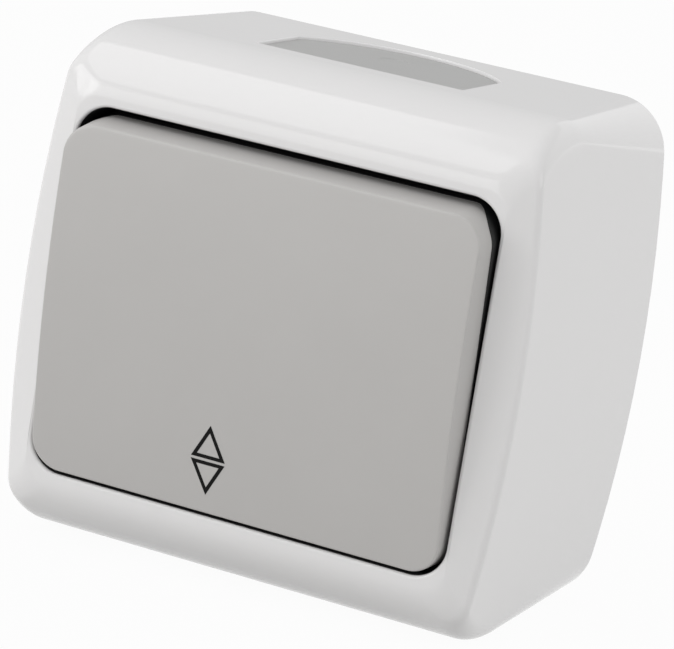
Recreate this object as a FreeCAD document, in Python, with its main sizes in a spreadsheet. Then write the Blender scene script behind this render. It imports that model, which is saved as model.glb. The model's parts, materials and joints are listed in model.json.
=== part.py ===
import FreeCAD, Part
import math
import os

# Surface-mounted weatherproof rocker switch, two-way.
# Origin: middle of the wall face. X to the right, Z up, front towards -Y, millimetres.
# Depths are distances from the wall, so a depth of 10 lies at y = -10.

Vector = FreeCAD.Vector
doc = FreeCAD.newDocument("weatherproof_switch")
sheet = doc.addObject("Spreadsheet::Sheet", "dim")

DIMENSIONS = [
    # Cover: moulded shell that reaches the wall
    ("cover_width", 68.0),
    ("cover_height", 64.3),
    ("cover_depth", 40.3),
    ("side_bulge", 2.6),
    ("wall_corner", 7.0),
    ("nose_corner", 4.8),
    ("wall", 2.0),
    ("end_round_depth", 13.2),
    ("end_round_height", 8.2),
    ("side_draft", 0.7),
    ("side_edge", 1.2),
    ("side_drop", 1.55),
    # Recess that the rocker sits in
    ("side_frame", 5.8),
    ("side_land", 0.5),
    ("rim_bulge", 0.3),
    ("end_land", 0.9),
    ("recess_corner", 4.3),
    ("floor_behind_pivot", 1.6),
    ("tub_wall", 1.8),
    ("tub_floor", 2.0),
    ("rim_bevel", 0.25),
    # Cable entry in the top wall
    ("window_width", 27.9),
    ("window_land", 3.0),
    ("window_ends", 11.9),
    ("window_back", 4.2),
    ("seal_sunk", 0.4),
    ("seal_flange", 1.4),
    ("seal_flange_thickness", 1.2),
    ("seal_gap", 0.05),
    ("dimple_radius", 1.4),
    ("dimple_sunk", 0.3),
    ("membrane", 0.9),
    ("membrane_margin", 2.2),
    # Base box behind the cover
    ("base_thickness", 2.2),
    ("base_gap", 0.25),
    ("gasket_width", 2.0),
    ("gasket_thickness", 2.0),
    ("rim_wall", 1.6),
    ("rim_depth", 10.0),
    ("slot_spacing_x", 40.0),
    ("slot_spacing_z", 38.0),
    ("slot_width", 4.5),
    ("slot_length", 8.0),
    ("post_radius", 3.2),
    ("cover_screw_inset", 5.7),
    ("cover_screw_z", 9.0),
    # Screws, shared by cover and mechanism
    ("screw_radius", 1.45),
    ("thread_gap", 0.05),
    ("passing_gap", 0.25),
    ("head_radius", 2.6),
    ("head_height", 1.6),
    ("drive_width", 0.8),
    ("drive_depth", 0.8),
    ("cover_screw_length", 12.0),
    ("body_screw_length", 5.0),
    # Mechanism moulding
    ("side_room", 22.0),
    ("wiring_room", 15.15),
    ("body_back", 5.0),
    ("pivot_above_body", 5.1),
    ("body_floor", 3.4),
    ("body_wall", 1.6),
    ("lid_ledge", 1.4),
    ("lid_thickness", 1.6),
    ("lid_gap", 0.1),
    ("lid_opening_width", 9.0),
    ("lid_opening_height", 11.0),
    ("lug_reach", 3.5),
    ("lug_z", 12.0),
    ("lug_thickness", 3.0),
    ("ear_height", 8.0),
    ("ear_above_pivot", 2.9),
    ("aperture_gap", 0.8),
    ("gasket_ring_width", 2.4),
    ("gasket_ring_height", 1.4),
    ("gasket_ring_corner", 1.5),
    # Rocker and toggle, measured from the pivot
    ("pivot_sunk", 6.2),
    ("pivot_depth", "=cover_depth - pivot_sunk"),
    ("rest_tilt", 4.5),
    ("rocker_side_gap", 0.6),
    ("rocker_end_gap", 0.95),
    ("rocker_corner", 3.9),
    ("rocker_face", 9.7),
    ("crown_radius", 170.0),
    ("rocker_skirt_end", 0.8),
    ("rocker_skin", 1.8),
    ("rocker_edge_fillet", 0.5),
    ("rib_x", 7.0),
    ("rib_width", 1.4),
    ("rib_end_gap", 1.3),
    ("clip_width", 6.0),
    ("clip_thickness", 1.4),
    ("clip_gap", 0.1),
    ("clip_hook", 0.6),
    ("toggle_gap", 0.2),
    ("trunnion_radius", 1.5),
    ("trunnion_gap", 0.05),
    ("hub_half_height", 2.4),
    ("hub_back", 2.4),
    ("plate_back", 2.6),
    ("plate_thickness", 2.0),
    ("plate_height", 12.0),
    ("barrel_radius", 3.2),
    ("plunger_show", 3.0),
    ("spring_seat", 3.0),
    ("plunger_radius", 2.0),
    ("plunger_gap", 0.1),
    ("plunger_top", 9.0),
    ("spring_radius", 1.45),
    ("spring_wire", 0.28),
    ("spring_turns", 5.0),
    # See-saw contact and brass strips
    ("strip_thickness", 0.8),
    ("strip_width", 5.0),
    ("lever_pivot_height", 3.7),
    ("lever_tilt", 8.0),
    ("tip_side_gap", 1.4),
    ("lever_width", 5.0),
    ("lever_back", 0.9),
    ("lever_thickness", 1.0),
    ("eye_radius", 1.6),
    ("lever_pin_radius", 0.8),
    ("lever_pin_gap", 0.05),
    ("cheek_gap", 0.4),
    ("cheek_thickness", 0.8),
    ("cheek_height", 3.6),
    ("cheek_above_pin", 1.4),
    ("tip_radius", 1.6),
    ("tip_height", 1.0),
    ("contact_gap", 0.05),
    ("plunger_rest_gap", 0.3),
    # Screw terminals
    ("cage_size", 7.0),
    ("cage_depth", 8.0),
    ("cage_wall", 1.0),
    ("cage_gap", 0.5),
    ("terminal_screw_reach", 3.4),
]

for row, (alias, value) in enumerate(DIMENSIONS, start=1):
    sheet.set(f"A{row}", alias)
    sheet.set(f"B{row}", str(value))
    sheet.setAlias(f"B{row}", alias)
doc.recompute()

ROUND_STEPS = 5
EDGE_STEPS = 3
LAND_STEPS = 4
WIRE_FLATS = 8
SMALLEST_CORNER = 0.8
EDGE_TOLERANCE = 1e-3
ABOUT_X = Vector(1, 0, 0)
ABOUT_Y = Vector(0, 1, 0)


def size(alias):
    """The plain number in a named cell."""
    return float(sheet.get(alias))


def bind(obj, expressions):
    """Tie properties to expressions of the sheet's cells."""
    for name, expression in expressions.items():
        obj.setExpression(name, expression)
    return obj


def block(name, x, depth, z):
    """Box between two expressions in x, in depth and in z."""
    obj = doc.addObject("Part::Box", name)
    return bind(obj, {
        "Length": f"({x[1]}) - ({x[0]})",
        "Width": f"({depth[1]}) - ({depth[0]})",
        "Height": f"({z[1]}) - ({z[0]})",
        "Placement.Base.x": x[0],
        "Placement.Base.y": f"-({depth[1]})",
        "Placement.Base.z": z[0],
    })


def middle_block(name, width, depth, height):
    """Box centred on the middle line in x and z, between two depths."""
    x = (f"-({width}) / 2", f"({width}) / 2")
    z = (f"-({height}) / 2", f"({height}) / 2")
    return block(name, x, depth, z)


def round_bar(name, radius, depth, x="0", z="0"):
    """Cylinder along the depth, between two depths."""
    obj = doc.addObject("Part::Cylinder", name)
    obj.Placement = FreeCAD.Placement(Vector(), FreeCAD.Rotation(ABOUT_X, 90))
    return bind(obj, {
        "Radius": radius,
        "Height": f"({depth[1]}) - ({depth[0]})",
        "Placement.Base.x": x,
        "Placement.Base.y": f"-({depth[0]})",
        "Placement.Base.z": z,
    })


def cross_pin(name, radius, width, depth="0"):
    """Cylinder along X, centred on the middle line at one depth."""
    obj = doc.addObject("Part::Cylinder", name)
    obj.Placement = FreeCAD.Placement(Vector(), FreeCAD.Rotation(ABOUT_Y, 90))
    return bind(obj, {
        "Radius": radius,
        "Height": width,
        "Placement.Base.x": f"-({width}) / 2",
        "Placement.Base.y": f"-({depth})",
    })


def fuse(name, *parts):
    """One shape of several solids, which may lie apart."""
    obj = doc.addObject("Part::MultiFuse", name)
    obj.Shapes = list(parts)
    obj.Refine = True
    return obj


def cut(name, base, *tools):
    """The base with every tool taken out of it."""
    obj = doc.addObject("Part::Cut", name)
    obj.Base = base
    obj.Tool = tools[0] if len(tools) == 1 else fuse(name + "_tools", *tools)
    obj.Refine = True
    return obj


def fillet(name, base, radius, wanted, kind="Part::Fillet"):
    """Round or bevel the edges of the base that a test picks out."""
    doc.recompute()
    picked = [i for i, edge in enumerate(base.Shape.Edges, start=1) if wanted(edge)]
    obj = doc.addObject(kind, name)
    obj.Base = base
    obj.Edges = [(i, radius, radius) for i in picked]
    return obj


def runs_in_depth(edge):
    """True for a straight edge along the depth."""
    first, last = edge.firstVertex().Point, edge.lastVertex().Point
    return abs(abs(first.y - last.y) - edge.Length) < 1e-6


def soft_block(name, width, depth, height, corner):
    """Centred box whose four corners, seen from the front, are round."""
    return fillet(name, middle_block(name + "_block", width, depth, height), corner, runs_in_depth)


def at_pivot(obj, depth, tilt):
    """Turn a piece modelled about its own pivot and set the pivot at its depth."""
    obj.Placement = FreeCAD.Placement(Vector(), FreeCAD.Rotation(ABOUT_X, 1))
    return bind(obj, {"Placement.Base.y": f"-({depth})", "Placement.Rotation.Angle": tilt})


def set_shape(name, shape):
    """Document object for a shape that is worked out from the sheet's values."""
    obj = doc.addObject("Part::Feature", name)
    obj.Shape = shape
    return obj


# Outlines of the cover and of everything that nests inside it

def barrel_outline(side_inset, end_inset, corner, bulge, depth):
    """Straight top and bottom, arched sides and round corners, at one depth from the wall."""
    half_height = size("cover_height") / 2
    arch = (bulge ** 2 + half_height ** 2) / (2 * bulge)
    arch_x = size("cover_width") / 2 - arch
    arch_radius = arch - side_inset
    top = half_height - end_inset
    reach = arch_radius - corner
    corner_z = top - corner
    corner_x = arch_x + math.sqrt(reach ** 2 - corner_z ** 2)
    turn = math.atan2(corner_z, corner_x - arch_x)
    halfway = (turn + math.pi / 2) / 2
    bend = (corner_x + corner * math.cos(halfway), corner_z + corner * math.sin(halfway))

    def at(point, side, end):
        return Vector(side * point[0], -depth, end * point[1])

    def on_arch(angle):
        return (arch_x + arch_radius * math.cos(angle), arch_radius * math.sin(angle))

    touch, between, widest = (on_arch(angle) for angle in (turn, turn / 2, 0))

    def side_arcs(side):
        return [
            Part.Arc(at(touch, side, side), at(between, side, side), at(widest, side, side)),
            Part.Arc(at(widest, side, side), at(between, side, -side), at(touch, side, -side)),
        ]

    edges = [Part.LineSegment(at((corner_x, top), -1, 1), at((corner_x, top), 1, 1))]
    edges.append(Part.Arc(at((corner_x, top), 1, 1), at(bend, 1, 1), at(touch, 1, 1)))
    edges += side_arcs(1)
    edges.append(Part.Arc(at(touch, 1, -1), at(bend, 1, -1), at((corner_x, top), 1, -1)))
    edges.append(Part.LineSegment(at((corner_x, top), 1, -1), at((corner_x, top), -1, -1)))
    edges.append(Part.Arc(at((corner_x, top), -1, -1), at(bend, -1, -1), at(touch, -1, -1)))
    edges += side_arcs(-1)
    edges.append(Part.Arc(at(touch, -1, 1), at(bend, -1, 1), at((corner_x, top), -1, 1)))
    return Part.Wire([edge.toShape() for edge in edges])


class SideProfile:
    """The cover's side seen from above, set in from the skin by an offset.

    It leaves the wall with a slight draft, turns round a tight edge, and slopes over a land to the
    flat rim of the recess. Points are half widths and depths.
    """

    def __init__(self, offset):
        self.half_width = size("cover_width") / 2
        front = size("cover_depth") - offset
        self.foot = Vector(self.half_width - offset, 0)
        self.edge = Vector(self.foot.x - size("side_draft"), front - size("side_drop"))
        self.rim = Vector(self.half_width - size("side_frame") + size("side_land"), front)
        to_foot = (self.foot - self.edge).normalize()
        to_rim = (self.rim - self.edge).normalize()
        half_angle = to_foot.getAngle(to_rim) / 2
        self.radius = max(size("side_edge") - offset, SMALLEST_CORNER)
        self.centre = self.edge + (to_foot + to_rim).normalize() * (self.radius / math.sin(half_angle))
        self.round_start = self.edge + to_foot * (self.radius / math.tan(half_angle))
        self.round_end = self.edge + to_rim * (self.radius / math.tan(half_angle))

    def inset(self, depth):
        """How far the side lies inside the cover's half width at a depth."""
        if depth <= self.round_start.y:
            x = self.foot.x + (self.edge.x - self.foot.x) * depth / self.edge.y
        elif depth < self.round_end.y:
            x = self.centre.x + math.sqrt(self.radius ** 2 - (depth - self.centre.y) ** 2)
        else:
            x = self.edge.x + (self.rim.x - self.edge.x) * (depth - self.edge.y) / (self.rim.y - self.edge.y)
        return self.half_width - x

    def bulge(self, depth):
        """Arch of the side at a depth, which fades over the land towards the straight recess."""
        share = max(0.0, (depth - self.round_end.y) / (self.rim.y - self.round_end.y))
        return size("side_bulge") + (size("rim_bulge") - size("side_bulge")) * share


def skin_section(offset, depth):
    """Outline of the skin at a depth, set in by an offset, with its ends on an elliptic rounding."""
    side = SideProfile(offset)
    end_start = size("cover_depth") - size("end_round_depth")
    share = (depth - end_start) / (size("cover_depth") - offset - end_start)
    share = min(1.0, max(0.0, share))
    end_inset = offset + (size("end_round_height") - offset) * (1 - math.sqrt(1 - share ** 2))
    corner_share = min(1.0, depth / end_start)
    corner = size("wall_corner") + (size("nose_corner") - size("wall_corner")) * corner_share
    corner = max(corner - offset, SMALLEST_CORNER)
    return barrel_outline(side.inset(depth), end_inset, corner, side.bulge(depth), depth)


def barrel_prism(offset, back, front):
    """Drafted prism of the skin's outline, set in by an offset, between two depths."""
    return Part.makeLoft([skin_section(offset, back), skin_section(offset, front)], True, True)


def straight_form(offset):
    """The part of the form behind the end rounding, set in by an offset."""
    return barrel_prism(offset, 0, size("cover_depth") - size("end_round_depth"))


def cover_form(offset):
    """Drafted prism from the wall, then lofts over the end rounding, the side edge and the land."""
    side = SideProfile(offset)
    front = size("cover_depth") - offset
    end_start = size("cover_depth") - size("end_round_depth")
    form = straight_form(offset)
    spans = [
        (end_start, side.round_start.y, ROUND_STEPS, False),
        (side.round_start.y, side.round_end.y, EDGE_STEPS, True),
        (side.round_end.y, front, LAND_STEPS, True),
    ]
    for back, ahead, steps, ruled in spans:
        first, last = (math.asin((depth - end_start) / (front - end_start)) for depth in (back, ahead))
        turns = [first + (last - first) * step / steps for step in range(steps + 1)]
        sections = [skin_section(offset, end_start + (front - end_start) * math.sin(turn)) for turn in turns]
        form = form.fuse(Part.makeLoft(sections, True, ruled))
    return form.removeSplitter()


def window_prism(margin, low, high):
    """Cable window seen from above: straight front and ends, arched towards the wall."""
    half_width = size("window_width") / 2 + margin
    land = size("end_round_depth") + size("window_land")
    front = land - size("cover_depth") - margin
    ends = -size("window_ends")
    back = -size("window_back") + margin
    corners = [Vector(half_width, ends, low), Vector(half_width, front, low)]
    corners += [Vector(-half_width, front, low), Vector(-half_width, ends, low)]
    edges = [Part.LineSegment(a, b).toShape() for a, b in zip(corners, corners[1:])]
    edges.append(Part.Arc(corners[3], Vector(0, back, low), corners[0]).toShape())
    return Part.Face(Part.Wire(edges)).extrude(Vector(0, 0, high - low))


# Widths, heights and depths that several pieces share

RECESS_WIDTH = "(dim.cover_width - 2 * dim.side_frame)"
RECESS_HEIGHT = "(dim.cover_height - 2 * (dim.end_round_height + dim.end_land))"
FLOOR_FRONT = "dim.pivot_depth - dim.floor_behind_pivot"
FLOOR_BACK = f"{FLOOR_FRONT} - dim.tub_floor"
COVER_SCREW_X = f"({RECESS_WIDTH} / 2 - dim.cover_screw_inset)"
BODY_WIDTH = "(dim.cover_width - 2 * dim.side_room)"
BODY_HEIGHT = "(dim.cover_height - 2 * dim.wiring_room)"
BODY_FRONT = "(dim.pivot_depth - dim.pivot_above_body)"
BODY_FLOOR = "dim.body_back + dim.body_floor"
STRIP_FRONT = f"{BODY_FLOOR} + dim.strip_thickness"
LEVER_PIVOT = f"{BODY_FLOOR} + dim.lever_pivot_height"
EAR_FRONT = "dim.pivot_depth + dim.ear_above_pivot"
LID_BACK = f"{BODY_FRONT} - dim.lid_thickness"
CAVITY_WIDTH = f"({BODY_WIDTH} - 2 * dim.body_wall)"
CAVITY_HEIGHT = f"({BODY_HEIGHT} - 2 * dim.body_wall)"
THREAD = "dim.screw_radius + dim.thread_gap"
PASSING = "dim.screw_radius + dim.passing_gap"
APERTURE_WIDTH = f"{BODY_WIDTH} + 2 * dim.aperture_gap"
APERTURE_HEIGHT = "dim.plate_height + 2 * dim.aperture_gap"
LUG_X = f"{BODY_WIDTH} / 2 + dim.lug_reach"
LUG_FRONT = "dim.body_back + dim.lug_thickness"
SIDES = ((-1, "left"), (1, "right"))
ENDS = ((1, "upper"), (-1, "lower"))
PIECES = {}


def screw(name, x, z, seat, length):
    """Slotted pan-head screw whose head rests on a seat depth."""
    shank = round_bar(name + "_shank", "dim.screw_radius", (f"{seat} - ({length})", seat), x, z)
    head_front = f"{seat} + dim.head_height"
    head = round_bar(name + "_head", "dim.head_radius", (seat, head_front), x, z)
    slot_x = (f"{x} - dim.head_radius", f"{x} + dim.head_radius")
    slot_z = (f"{z} - dim.drive_width / 2", f"{z} + dim.drive_width / 2")
    drive = block(name + "_drive", slot_x, (f"{head_front} - dim.drive_depth", head_front), slot_z)
    return cut(name, fuse(name + "_blank", shank, head), drive)


# Cover: shell with a sunk tub for the rocker and a window for the cable seal

def make_cover():
    top = size("cover_height") / 2
    skin = set_shape("cover_skin", cover_form(0))
    cavity = set_shape("cover_cavity", cover_form(size("wall")))
    tub_depth = (FLOOR_BACK, "dim.cover_depth - dim.wall / 2")
    tub_corner = size("recess_corner") + size("tub_wall")
    tub_width = f"{RECESS_WIDTH} + 2 * dim.tub_wall"
    tub_height = f"{RECESS_HEIGHT} + 2 * dim.tub_wall"
    tub = soft_block("tub", tub_width, tub_depth, tub_height, tub_corner)
    shell = cut("cover_shell", skin, cut("cover_hollow", cavity, tub))
    recess_depth = (FLOOR_FRONT, "dim.cover_depth + dim.wall")
    recess = soft_block("recess", RECESS_WIDTH, recess_depth, RECESS_HEIGHT, size("recess_corner"))
    sunk = cut("cover_sunk", shell, recess)

    rim = -size("cover_depth")

    def on_rim(edge):
        box = edge.BoundBox
        mouth = recess.Shape.BoundBox
        mouth.enlarge(EDGE_TOLERANCE)
        level = abs(box.YMin - rim) < EDGE_TOLERANCE and abs(box.YMax - rim) < EDGE_TOLERANCE
        return level and mouth.isInside(box)

    eased = fillet("cover_rim", sunk, size("rim_bevel"), on_rim, "Part::Chamfer")
    tools = [middle_block("floor_aperture", APERTURE_WIDTH, (FLOOR_BACK, FLOOR_FRONT), APERTURE_HEIGHT)]
    for side, word in SIDES:
        x = f"{side} * {COVER_SCREW_X}"
        z = f"{side} * dim.cover_screw_z"
        tools.append(round_bar(f"cover_hole_{word}", PASSING, (FLOOR_BACK, FLOOR_FRONT), x, z))
    tools.append(set_shape("window_cut", window_prism(0, top - 2 * size("wall"), top + size("wall"))))
    PIECES["cover"] = cut("cover", eased, *tools)


# Top cable seal: elastomer plug in the window, with a flange behind the wall

def make_top_cable_seal():
    inside = size("cover_height") / 2 - size("wall")
    face = size("cover_height") / 2 - size("seal_sunk")
    flange_low = inside - size("seal_flange_thickness")
    flange = set_shape("seal_flange", window_prism(size("seal_flange"), flange_low, inside))
    plug = set_shape("seal_plug", window_prism(-size("seal_gap"), flange_low, face))
    hollow_high = face - size("membrane")
    hollow = set_shape("seal_hollow", window_prism(-size("membrane_margin"), flange_low, hollow_high))
    middle = "-(dim.cover_depth - dim.end_round_depth - dim.window_land + dim.window_back) / 2"
    dimple = doc.addObject("Part::Cylinder", "seal_dimple")
    bind(dimple, {
        "Radius": "dim.dimple_radius",
        "Height": "dim.dimple_sunk",
        "Placement.Base.y": middle,
        "Placement.Base.z": "dim.cover_height / 2 - dim.seal_sunk - dim.dimple_sunk",
    })
    PIECES["top_cable_seal"] = cut("top_cable_seal", fuse("seal_blank", flange, plug), hollow, dimple)


# Base box: back plate with rim, posts and wall slots, and the gasket round it

def make_base_box():
    inner = size("wall") + size("base_gap")
    rim_out = inner + size("gasket_width")
    rim_in = rim_out + size("rim_wall")
    thick = size("base_thickness")
    plate = set_shape("base_plate", barrel_prism(inner, 0, thick))
    rim_solid = barrel_prism(rim_out, thick, size("rim_depth"))
    rim = set_shape("base_rim", rim_solid.cut(barrel_prism(rim_in, thick, size("rim_depth"))))
    parts = [plate, rim]
    tools = []
    for side, word in SIDES:
        x = f"{side} * {COVER_SCREW_X}"
        z = f"{side} * dim.cover_screw_z"
        post_depth = ("dim.base_thickness", FLOOR_BACK)
        parts.append(round_bar(f"cover_post_{word}", "dim.post_radius", post_depth, x, z))
        pilot_end = f"{FLOOR_FRONT} - dim.cover_screw_length - dim.head_height"
        tools.append(round_bar(f"cover_pilot_{word}", THREAD, (pilot_end, FLOOR_BACK), x, z))
        x = f"{side} * ({LUG_X})"
        z = f"{-side} * dim.lug_z"
        post_depth = ("dim.base_thickness", "dim.body_back")
        parts.append(round_bar(f"body_post_{word}", "dim.post_radius", post_depth, x, z))
        pilot_depth = ("dim.base_thickness / 2", "dim.body_back")
        tools.append(round_bar(f"body_pilot_{word}", THREAD, pilot_depth, x, z))
        for end, level in ENDS:
            tools.append(wall_slot(f"wall_slot_{level}_{word}", side, end))
    notch_x = "dim.window_width / 2 + dim.seal_flange + dim.rim_wall"
    notch = block("rim_notch", (f"-({notch_x})", notch_x), ("dim.base_thickness", "dim.rim_depth"),
                  ("dim.cover_height / 4", "dim.cover_height / 2"))
    tools.append(notch)
    PIECES["base_box"] = cut("base_box", fuse("base_blank", *parts), *tools)
    gasket_front = thick + size("gasket_thickness")
    corner = Vector(-size("cover_width") / 2, -gasket_front, -size("cover_height") / 2)
    level = Part.makeBox(size("cover_width"), size("gasket_thickness"), size("cover_height"), corner)
    ring = straight_form(size("wall")).common(level)
    ring = ring.cut(barrel_prism(rim_out, thick, gasket_front))
    gap = block("gasket_notch", (f"-({notch_x})", notch_x),
                ("dim.base_thickness", "dim.base_thickness + dim.gasket_thickness"),
                ("dim.cover_height / 4", "dim.cover_height / 2"))
    PIECES["cover_gasket"] = cut("cover_gasket", set_shape("gasket_ring", ring), gap)


def wall_slot(name, side, end):
    """Level slot through the back plate for one wall screw."""
    x = f"{side} * dim.slot_spacing_x / 2"
    z = f"{end} * dim.slot_spacing_z / 2"
    run = "(dim.slot_length - dim.slot_width) / 2"
    depth = ("0", "dim.base_thickness")
    left = round_bar(name + "_left", "dim.slot_width / 2", depth, f"{x} - {run}", z)
    right = round_bar(name + "_right", "dim.slot_width / 2", depth, f"{x} + {run}", z)
    z_span = (f"{z} - dim.slot_width / 2", f"{z} + dim.slot_width / 2")
    middle = block(name + "_middle", (f"{x} - {run}", f"{x} + {run}"), depth, z_span)
    return fuse(name, left, right, middle)


# Mechanism: moulded body with trunnion ears, its lid and the gasket round its aperture

def make_switch_body():
    full = ("dim.body_back", BODY_FRONT)
    parts = [middle_block("body_block", BODY_WIDTH, full, BODY_HEIGHT)]
    ears = middle_block("ear_block", BODY_WIDTH, (BODY_FRONT, EAR_FRONT), "dim.ear_height")
    parts.append(ears)
    tools = []
    ledge_height = f"{CAVITY_HEIGHT} - 2 * dim.lid_ledge"
    tools.append(middle_block("body_hollow", CAVITY_WIDTH, (BODY_FLOOR, EAR_FRONT), ledge_height))
    tools.append(middle_block("lid_seat", CAVITY_WIDTH, (LID_BACK, BODY_FRONT), CAVITY_HEIGHT))
    trunnion_hole = "dim.trunnion_radius + dim.trunnion_gap"
    tools.append(cross_pin("trunnion_holes", trunnion_hole, BODY_WIDTH, "dim.pivot_depth"))
    strip_depth = (BODY_FLOOR, STRIP_FRONT)
    strip_half = "dim.strip_width / 2"
    tools.append(middle_block("strip_ways", "dim.strip_width", strip_depth, BODY_HEIGHT))
    strip_z = (f"-{strip_half}", strip_half)
    tools.append(block("common_way", ("0", f"{BODY_WIDTH} / 2"), strip_depth, strip_z))
    for side, word in SIDES:
        x = f"{side} * ({LUG_X})"
        z = f"{-side} * dim.lug_z"
        lug_depth = ("dim.body_back", LUG_FRONT)
        parts.append(round_bar(f"lug_round_{word}", "dim.post_radius", lug_depth, x, z))
        bridge_x = sorted((0, side))
        bridge_x = tuple(f"{end} * ({LUG_X})" for end in bridge_x)
        bridge_z = (f"{z} - dim.post_radius", f"{z} + dim.post_radius")
        parts.append(block(f"lug_bridge_{word}", bridge_x, lug_depth, bridge_z))
        tools.append(round_bar(f"lug_hole_{word}", PASSING, lug_depth, x, z))
    PIECES["switch_body"] = cut("switch_body", fuse("body_blank", *parts), *tools)

    lid_width = f"{CAVITY_WIDTH} - 2 * dim.lid_gap"
    lid_height = f"{CAVITY_HEIGHT} - 2 * dim.lid_gap"
    lid_depth = (LID_BACK, BODY_FRONT)
    lid = middle_block("lid_plate", lid_width, lid_depth, lid_height)
    opening = middle_block("lid_opening", "dim.lid_opening_width", lid_depth, "dim.lid_opening_height")
    PIECES["mechanism_lid"] = cut("mechanism_lid", lid, opening)

    ring_depth = (FLOOR_FRONT, f"{FLOOR_FRONT} + dim.gasket_ring_height")
    ring = soft_block("ring_outside", f"{APERTURE_WIDTH} + 2 * dim.gasket_ring_width", ring_depth,
                      f"{APERTURE_HEIGHT} + 2 * dim.gasket_ring_width", size("gasket_ring_corner"))
    hole = middle_block("ring_inside", APERTURE_WIDTH, ring_depth, APERTURE_HEIGHT)
    PIECES["rocker_gasket"] = cut("rocker_gasket", ring, hole)


# Rocker: crowned face on a skirt, with ribs that seat on the toggle and two clips

ROCKER_WIDTH = f"({RECESS_WIDTH} - 2 * dim.rocker_side_gap)"
ROCKER_HEIGHT = f"({RECESS_HEIGHT} - 2 * dim.rocker_end_gap)"
PLATE_FRONT = "dim.plate_back + dim.plate_thickness"
ROOF_BACK = "dim.rocker_face - dim.rocker_skin"


def crown(name, drop):
    """Big cylinder along X whose front gives the rocker's crowned face, or its roof."""
    centre = "dim.rocker_face - dim.crown_radius"
    return cross_pin(name, f"dim.crown_radius - ({drop})", "dim.cover_width", centre)


def make_rocker():
    depth = ("dim.rocker_skirt_end", "dim.rocker_face")
    outside = soft_block("rocker_outside", ROCKER_WIDTH, depth, ROCKER_HEIGHT, size("rocker_corner"))
    crowned = doc.addObject("Part::Common", "rocker_crowned")
    crowned.Base = outside
    crowned.Tool = crown("face_crown", "0")
    skirt_end = -size("rocker_skirt_end")

    def on_face(edge):
        return not runs_in_depth(edge) and edge.BoundBox.YMax < skirt_end - size("rocker_face") / 3

    rounded = fillet("rocker_rounded", crowned, size("rocker_edge_fillet"), on_face)
    inside_depth = ("dim.rocker_skirt_end", "dim.rocker_face")
    inside_height = f"{ROCKER_HEIGHT} - 2 * dim.rocker_skin"
    inside = middle_block("rocker_inside", f"{ROCKER_WIDTH} - 2 * dim.rocker_skin", inside_depth,
                          inside_height)
    hollow = doc.addObject("Part::Common", "rocker_hollow")
    hollow.Base = inside
    hollow.Tool = crown("roof_crown", "dim.rocker_skin")
    parts = [cut("rocker_shell", rounded, hollow)]
    into_roof = f"{ROOF_BACK} + dim.rocker_skin / 4"
    for side, word in SIDES:
        middle = f"{side} * dim.rib_x"
        rib_x = (f"{middle} - dim.rib_width / 2", f"{middle} + dim.rib_width / 2")
        rib_end = f"({inside_height}) / 2 - dim.rib_end_gap"
        parts.append(block(f"rocker_rib_{word}", rib_x, (PLATE_FRONT, into_roof), (f"-({rib_end})", rib_end)))
    clip_x = ("-dim.clip_width / 2", "dim.clip_width / 2")
    clip_back = "dim.plate_back - dim.clip_gap - dim.clip_hook"
    for end, level in ENDS:
        inner = "dim.plate_height / 2 + dim.clip_gap"
        leg_z = ordered(end, inner, f"{inner} + dim.clip_thickness")
        parts.append(block(f"clip_leg_{level}", clip_x, (clip_back, into_roof), leg_z))
        hook_z = ordered(end, f"{inner} - dim.clip_hook", f"{inner} + dim.clip_thickness / 2")
        hook_depth = (clip_back, "dim.plate_back - dim.clip_gap")
        parts.append(block(f"clip_hook_{level}", clip_x, hook_depth, hook_z))
    PIECES["rocker"] = at_pivot(fuse("rocker", *parts), "dim.pivot_depth", "dim.rest_tilt")


def ordered(end, near, far):
    """Low and high z of a span that lies on the upper or the lower side."""
    if end > 0:
        return (near, far)
    return (f"-({far})", f"-({near})")


# Toggle: pivots in the ears, carries the rocker in front and the sprung plunger behind

def make_toggle():
    inner_width = f"{CAVITY_WIDTH} - 2 * dim.toggle_gap"
    plate = middle_block("toggle_plate", inner_width, ("dim.plate_back", PLATE_FRONT), "dim.plate_height")
    hub_depth = ("-dim.hub_back", "dim.plate_back")
    hub = middle_block("toggle_hub", inner_width, hub_depth, "2 * dim.hub_half_height")
    trunnions = cross_pin("toggle_trunnions", "dim.trunnion_radius", BODY_WIDTH)
    barrel_back = f"dim.plunger_show - ({BALL})"
    barrel = round_bar("toggle_barrel", "dim.barrel_radius", (barrel_back, "0"))
    bore_depth = (barrel_back, "-dim.spring_seat")
    bore = round_bar("toggle_bore", "dim.plunger_radius + dim.plunger_gap", bore_depth)
    toggle = cut("toggle", fuse("toggle_blank", plate, hub, trunnions, barrel), bore)
    PIECES["toggle"] = at_pivot(toggle, "dim.pivot_depth", "dim.rest_tilt")


# Plunger: turned pin with a ball end, its length set so that the ball stops short of the lever

LEVER_FRONT = "dim.lever_back + dim.lever_thickness"
BALL = (f"((dim.pivot_depth - ({LEVER_PIVOT})) * cos(dim.lever_tilt * 1 deg)"
        f" - ({LEVER_FRONT}) - dim.plunger_radius - dim.plunger_rest_gap)"
        " / cos((dim.rest_tilt + dim.lever_tilt) * 1 deg)")


def make_plunger():
    pin = round_bar("plunger_pin", "dim.plunger_radius", (f"-({BALL})", "-dim.plunger_top"))
    ball = doc.addObject("Part::Sphere", "plunger_ball")
    bind(ball, {"Radius": "dim.plunger_radius", "Placement.Base.y": BALL})
    PIECES["plunger"] = at_pivot(fuse("plunger", pin, ball), "dim.pivot_depth", "dim.rest_tilt")


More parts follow.
